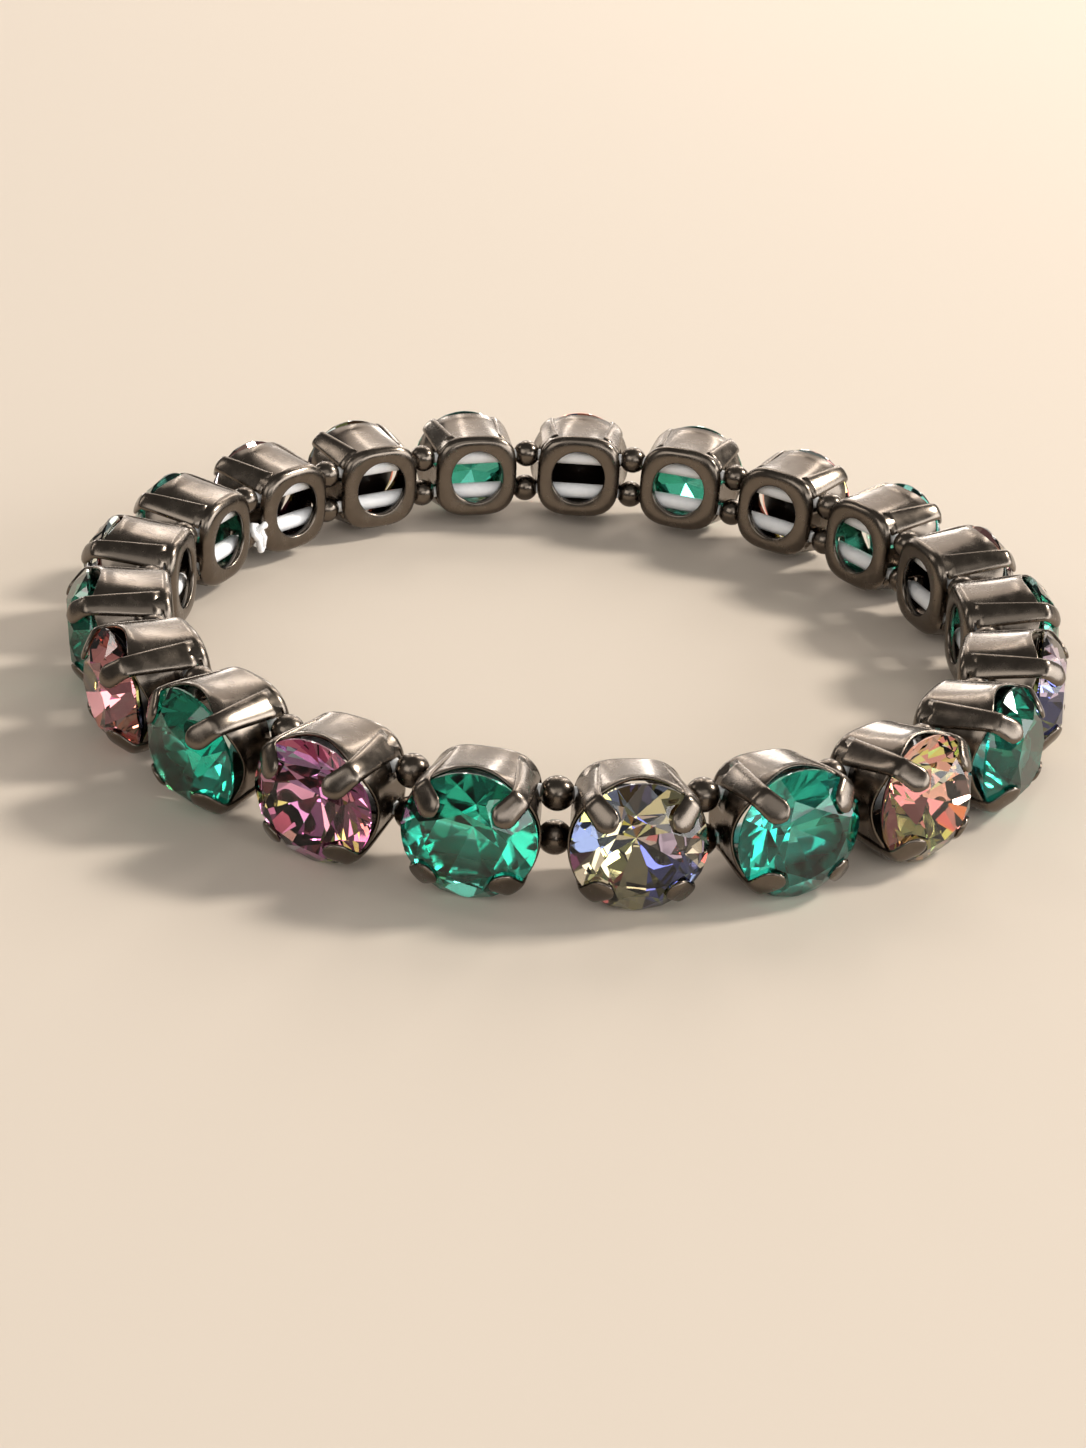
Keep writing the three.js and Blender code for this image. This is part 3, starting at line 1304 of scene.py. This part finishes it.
@dataclass(frozen=True)
class Studio:
    """The floor, the lights and the camera."""

    floor_metres: float = 6.0
    camera_mm: tuple[float, float, float] = (0.85, -147.6, 68.3)
    yaw: float = -0.878
    pitch: float = 26.245
    roll: float = -3.614
    lens_mm: float = 55.6086
    sensor_mm: float = 36.0
    room_colour: str = "#fffaf2"
    room_strength: float = 0.14
    cards: tuple[LightCard, ...] = (
        LightCard("key", 20.0, 38.0, 1.2, 0.2, 0.2, 12.0, "#fff8ee"),
        LightCard("side_window", -10.0, 15.0, 1.2, 1.5, 0.44, 9.2, "#ffffff"),
        LightCard("sun_window", 2.0, 23.0, 1.2, 0.2, 0.2, 1.0, "#ffffff"),
        LightCard("front_window", -64.0, 22.0, 1.6, 1.0, 0.34, 3.4, "#ffffff"),
        LightCard("front_fill", -80.0, 44.0, 1.6, 1.2, 0.8, 2.8, "#fffcf8"),
        LightCard("left_fill", -128.0, 32.0, 1.6, 1.0, 0.7, 5.0, "#fffcf8"),
        LightCard("back_low", 92.0, 8.0, 1.4, 2.0, 0.4, 2.9, "#fff4ea"),
        LightCard("back_bar_1", 68.0, 8.0, 1.3, 0.04, 0.36, 0.52),
        LightCard("back_bar_2", 86.0, 8.0, 1.3, 0.06, 0.36, 0.8),
        LightCard("back_bar_3", 106.0, 8.0, 1.3, 0.04, 0.36, 0.52),
        LightCard("back_bar_4", 122.0, 8.0, 1.3, 0.08, 0.36, 0.88),
        LightCard("back_window", 86.0, 33.0, 1.4, 1.52, 0.76, 5.8, "#fff4ea"),
        LightCard("back_bar_5", 66.0, 33.0, 1.3, 0.1, 0.72, 2.2),
        LightCard("back_bar_6", 98.0, 33.0, 1.3, 0.04, 0.72, 1.0),
        LightCard("left_bar", 165.0, 28.0, 1.2, 0.12, 0.6, 1.2),
    )

    def build_floor(self) -> None:
        """Lays the floor just under the bracelet."""
        mesh = bmesh.new()
        bmesh.ops.create_grid(mesh, x_segments=1, y_segments=1, size=self.floor_metres / 2 / MM)
        show(finish_mesh(mesh, "floor", smooth=False), [Cloth().make()])

    @staticmethod
    def add_card(card: LightCard) -> None:
        """Hangs a light card that faces the bracelet.

        Args:
            card: the card.
        """
        light = bpy.data.lights.new(card.name, "AREA")
        light.shape = "RECTANGLE"
        light.size = card.width
        light.size_y = card.height
        light.energy = card.power
        light.color = linear(card.colour)[:3]
        lamp = bpy.data.objects.new(card.name, light)
        azimuth, height = math.radians(card.azimuth), math.radians(card.elevation)
        level = Vector((math.cos(azimuth), math.sin(azimuth), 0.0))
        away = level * math.cos(height) + UP * math.sin(height)
        lamp.location = away * card.distance
        lamp.rotation_euler = away.to_track_quat("Z", "Y").to_euler()
        lamp.visible_camera = False
        bpy.context.scene.collection.objects.link(lamp)

    def build_lights(self) -> None:
        """Sets the soft room light, and the cards that light the pieces and show in the metal."""
        world = bpy.data.worlds.new("studio")
        bpy.context.scene.world = world
        world.use_nodes = True
        background = world.node_tree.nodes["Background"]
        background.inputs["Color"].default_value = linear(self.room_colour)
        background.inputs["Strength"].default_value = self.room_strength
        for card in self.cards:
            self.add_card(card)

    def build_camera(self) -> None:
        """Sets the camera."""
        camera = bpy.data.cameras.new("camera")
        camera.sensor_fit = "AUTO"
        camera.sensor_width = self.sensor_mm
        camera.lens = self.lens_mm
        camera.clip_start = 0.005
        eye = bpy.data.objects.new("camera", camera)
        yaw, pitch, roll = (math.radians(a) for a in (self.yaw, self.pitch, self.roll))
        forward = Vector(
            (math.sin(yaw) * math.cos(pitch), math.cos(yaw) * math.cos(pitch), -math.sin(pitch))
        )
        level = Vector((math.cos(yaw), -math.sin(yaw), 0.0))
        down = forward.cross(level)
        right = level * math.cos(roll) + down * math.sin(roll)
        above = level * math.sin(roll) - down * math.cos(roll)
        turn = Matrix((right, above, -forward)).transposed().to_4x4()
        eye.matrix_world = Matrix.Translation(Vector(self.camera_mm) * MM) @ turn
        bpy.context.scene.collection.objects.link(eye)
        bpy.context.scene.camera = eye

    def build(self) -> None:
        """Builds the whole studio."""
        bpy.context.scene.view_settings.view_transform = "Standard"
        self.build_floor()
        self.build_lights()
        self.build_camera()


def save_sizes() -> None:
    """Updates the view layer."""
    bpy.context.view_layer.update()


def main() -> None:
    """Builds the bracelet and its studio."""
    Bracelet().build()
    Studio().build()
    save_sizes()


if __name__ == "__main__":
    main()
